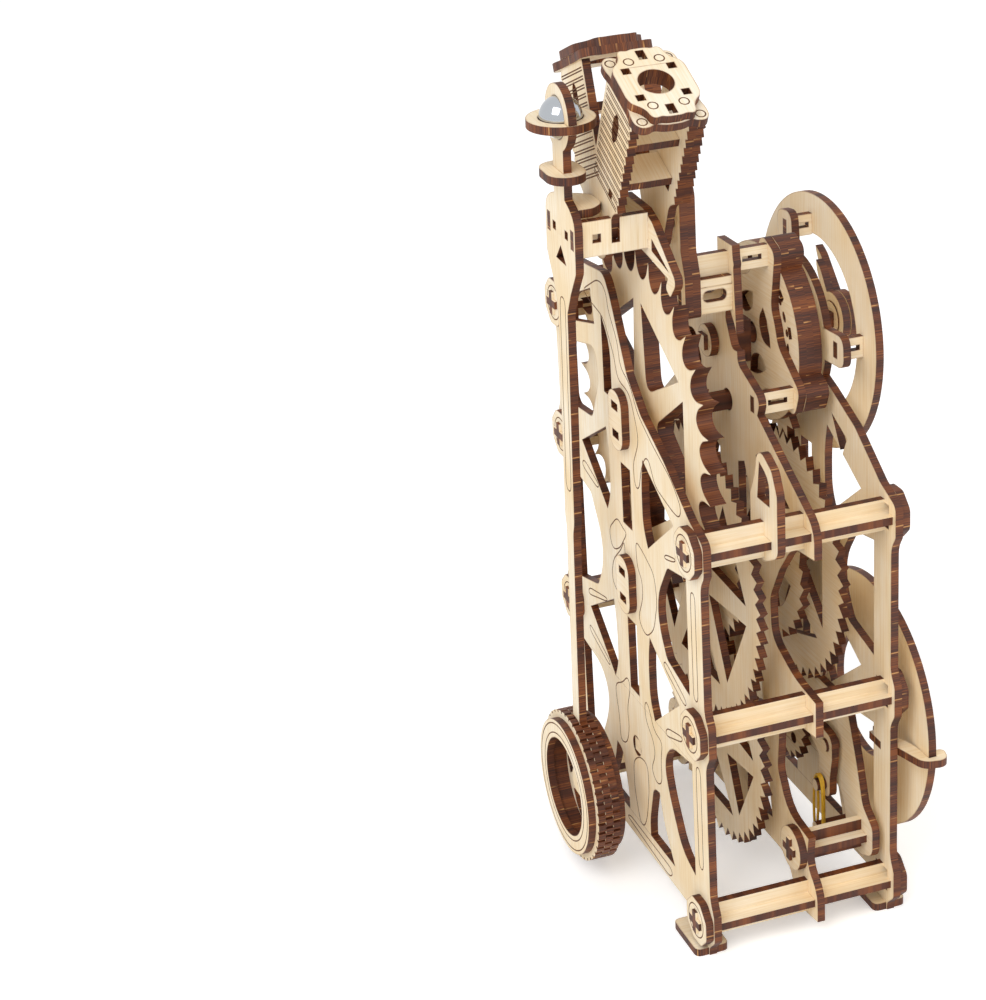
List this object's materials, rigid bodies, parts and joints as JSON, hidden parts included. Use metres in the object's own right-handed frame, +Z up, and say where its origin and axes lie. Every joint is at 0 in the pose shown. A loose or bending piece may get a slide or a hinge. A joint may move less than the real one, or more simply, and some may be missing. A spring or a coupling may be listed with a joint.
{
  "type": "mechanical pendulum clock kit",
  "caption": "Free-standing pendulum clock of slotted plywood sheets: open side frames, toothed wheels, notched escape wheel, engine-shaped pendulum head, tyre-shaped bob and face rings.",
  "frame": {"origin": "on the table plane, under the middle of the clock's bounding box", "axes": "+Z up, +X along the arbors from the pendulum to the dial, +Y across the frame away from the lower ring's shelf"},
  "size_m": [0.1264, 0.1526, 0.3274],
  "materials": {
    "plywood": "laser-cut birch plywood with burnt edges",
    "steel": "polished",
    "rubber": "matt"
  },
  "bodies": {
    "frame": {"rear_plate": "plywood", "middle_plate": "plywood", "front_plate": "plywood", "winding_plate": "plywood", "link_lever": "plywood", "beam_flats": "plywood", "beam_uprights": "plywood", "short_beams": "plywood", "end_caps_rear": "plywood", "end_caps_front": "plywood", "short_beam_caps": "plywood", "feet": "plywood", "bearing_caps": "plywood", "drum_posts": "plywood", "drum_cage": "plywood", "drum_face": "plywood", "drum_rim": "plywood", "ring_posts": "plywood", "dial_ring": "plywood", "lower_ring": "plywood", "ring_shelf": "plywood", "bridge_rails": "plywood", "pivot_brackets": "plywood", "fixed_pins": "plywood", "rubber_bands": "rubber"},
    "great_arbor_set": {"great_wheel": "plywood", "great_arbor": "plywood", "ratchet_wheel": "plywood"},
    "click": {"click": "plywood"},
    "centre_arbor_set": {"centre_arbor": "plywood", "centre_pinion": "plywood", "third_wheel": "plywood", "brake_wheel": "plywood", "motion_wheel": "plywood"},
    "escape_arbor_set": {"escape_arbor": "plywood", "escape_pinion": "plywood", "escape_wheel_rear": "plywood", "escape_wheel_front": "plywood"},
    "idler": {"idler_pinion": "plywood"},
    "dial_arbor_set": {"dial_wheel": "plywood", "dial_arbor": "plywood", "dial_arbor_cap": "plywood", "dial_sleeve": "plywood"},
    "hour_hand": {"hour_hand": "plywood"},
    "minute_hand": {"minute_hand": "plywood"},
    "pendulum": {"pendulum_plate": "plywood", "steel_ball": "steel", "halo_plate": "plywood", "pendulum_collar": "plywood", "box_sides": "plywood", "box_top": "plywood", "vee_plates": "plywood", "fin_stacks": "plywood", "cylinder_braces": "plywood", "cylinder_heads": "plywood", "anchor": "plywood", "pivot_pin": "plywood", "bob_sides": "plywood", "bob_tread": "plywood", "bob_core": "plywood"}
  },
  "joints": [
    {"name": "escape_wheel_turn", "type": "hinge", "parent": "frame", "child": "escape_arbor_set", "pos_m": [-0.02962, 0.00524, 0.1895], "axis": [1, 0, 0], "continuous": true},
    {"name": "centre_arbor_turn", "type": "hinge", "parent": "frame", "child": "centre_arbor_set", "pos_m": [-0.02962, 0.00524, 0.1235], "axis": [1, 0, 0], "continuous": true},
    {"name": "great_wheel_turn", "type": "hinge", "parent": "frame", "child": "great_arbor_set", "pos_m": [-0.02962, 0.00524, 0.054], "axis": [1, 0, 0], "continuous": true},
    {"name": "idler_turn", "type": "hinge", "parent": "frame", "child": "idler", "pos_m": [0.03078, 0.00753, 0.18104], "axis": [1, 0, 0], "continuous": true},
    {"name": "dial_arbor_turn", "type": "hinge", "parent": "frame", "child": "dial_arbor_set", "pos_m": [-0.02962, 0.01724, 0.2092], "axis": [1, 0, 0], "continuous": true},
    {"name": "minute_hand_turn", "type": "hinge", "parent": "frame", "child": "minute_hand", "pos_m": [0.06017, 0.01724, 0.2092], "axis": [1, 0, 0], "continuous": true},
    {"name": "hour_hand_turn", "type": "hinge", "parent": "frame", "child": "hour_hand", "pos_m": [0.05677, 0.01724, 0.2092], "axis": [1, 0, 0], "continuous": true},
    {"name": "pendulum_swing", "type": "hinge", "parent": "frame", "child": "pendulum", "pos_m": [-0.02962, 0.00524, 0.2606], "axis": [1, 0, 0], "range_deg": [-8, 1]},
    {"name": "click_lift", "type": "hinge", "parent": "frame", "child": "click", "pos_m": [0.02977, -0.03077, 0.058], "axis": [1, 0, 0], "range_deg": [0, 10], "deforming": ["rubber_bands"]}
  ],
  "couplings": [
    {"joint": "centre_arbor_turn", "follows": "escape_wheel_turn", "ratio": -0.2},
    {"joint": "great_wheel_turn", "follows": "escape_wheel_turn", "ratio": 0.11818},
    {"joint": "idler_turn", "follows": "escape_wheel_turn", "ratio": 0.96},
    {"joint": "dial_arbor_turn", "follows": "escape_wheel_turn", "ratio": -0.48},
    {"joint": "minute_hand_turn", "follows": "escape_wheel_turn", "ratio": -0.008},
    {"joint": "hour_hand_turn", "follows": "escape_wheel_turn", "ratio": -0.00066667}
  ]
}
